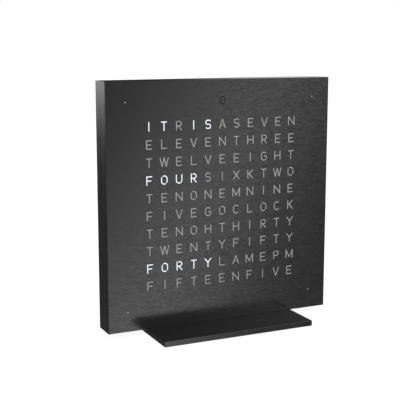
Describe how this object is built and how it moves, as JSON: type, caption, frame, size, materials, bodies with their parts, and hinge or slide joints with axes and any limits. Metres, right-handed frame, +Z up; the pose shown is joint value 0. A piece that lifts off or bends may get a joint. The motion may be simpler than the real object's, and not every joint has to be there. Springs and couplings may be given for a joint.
{
  "type": "word clock",
  "caption": "Desk word clock: square brushed black front with lit letters that spell the time, in a slim box standing upright on a flat base plate.",
  "frame": {"origin": "bottom centre of the whole clock, on the surface that it stands on", "axes": "+X to the right along the front, the front faces -Y, +Z up"},
  "size_m": [0.135, 0.06, 0.1385],
  "materials": {
    "cover_black": "black coated stainless steel, brushed left to right",
    "opal_white": "translucent white resin",
    "stud_steel": "plain turned steel",
    "housing_black": "black anodised, satin",
    "rear_black": "fine moulded grain",
    "stand_black": "black powder coat on steel plate, satin",
    "magnet_nickel": "nickel plated",
    "grid_white": "white moulded plastic",
    "board_green": "solder mask over copper tracks",
    "lamp_white": "white lamp case with pale yellow window",
    "screw_black": "blackened steel",
    "screw_zinc": "zinc plated",
    "insert_brass": "knurled brass",
    "spring_bronze": "phosphor bronze strip",
    "chip_black": "moulded black, tinned leads",
    "cell_steel": "satin steel can",
    "clip_steel": "bright strip steel",
    "pad_gold": "gold plated",
    "buzzer_black": "glossy black can",
    "sensor_dark": "dark clear case",
    "window_clear": "polished clear acrylic",
    "socket_steel": "drawn steel shell",
    "socket_plastic": "black plastic with contacts",
    "switch_black": "moulded black",
    "key_rubber": "matt black silicone",
    "plunger_white": "moulded white",
    "pad_rubber": "black rubber"
  },
  "bodies": {
    "clock": {"housing": "housing_black", "cover_magnets": "magnet_nickel", "rear_cover": "rear_black", "rear_cover_screws": "screw_black", "light_grid": "grid_white", "led_board": "board_green", "leds": "lamp_white", "dot_leds": "lamp_white", "grid_screws": "screw_zinc", "board_screws": "screw_zinc", "touch_spring": "spring_bronze", "controller_chip": "chip_black", "led_drivers": "chip_black", "clock_crystal": "clip_steel", "coin_cell": "cell_steel", "coin_cell_clip": "clip_steel", "coin_cell_pad": "pad_gold", "buzzer": "buzzer_black", "light_sensor": "sensor_dark", "sensor_window": "window_clear", "socket_shell": "socket_steel", "socket_tongue": "socket_plastic", "switch_bodies": "switch_black", "base_plate": "stand_black", "stand_screws": "screw_black", "stand_inserts": "insert_brass", "foot_pads": "pad_rubber"},
    "cover": {"front_cover": "cover_black", "opal_infill": "opal_white", "locating_studs": "stud_steel"},
    "key_minus": {"button_minus": "key_rubber", "plunger_minus": "plunger_white"},
    "key_plus": {"button_plus": "key_rubber", "plunger_plus": "plunger_white"},
    "key_alarm": {"button_alarm": "key_rubber", "plunger_alarm": "plunger_white"},
    "key_mode": {"button_mode": "key_rubber", "plunger_mode": "plunger_white"}
  },
  "joints": [
    {"name": "cover_pull", "type": "slide", "parent": "clock", "child": "cover", "axis": [0, -1, 0], "range_m": [0, 0.03]},
    {"name": "press_minus", "type": "slide", "parent": "clock", "child": "key_minus", "axis": [0, -1, 0], "range_m": [0, 0.0004], "stiffness_N_per_m": 4000, "springref_m": -0.0001},
    {"name": "press_plus", "type": "slide", "parent": "clock", "child": "key_plus", "axis": [0, -1, 0], "range_m": [0, 0.0004], "stiffness_N_per_m": 4000, "springref_m": -0.0001},
    {"name": "press_alarm", "type": "slide", "parent": "clock", "child": "key_alarm", "axis": [0, -1, 0], "range_m": [0, 0.0004], "stiffness_N_per_m": 4000, "springref_m": -0.0001},
    {"name": "press_mode", "type": "slide", "parent": "clock", "child": "key_mode", "axis": [0, -1, 0], "range_m": [0, 0.0004], "stiffness_N_per_m": 4000, "springref_m": -0.0001}
  ]
}
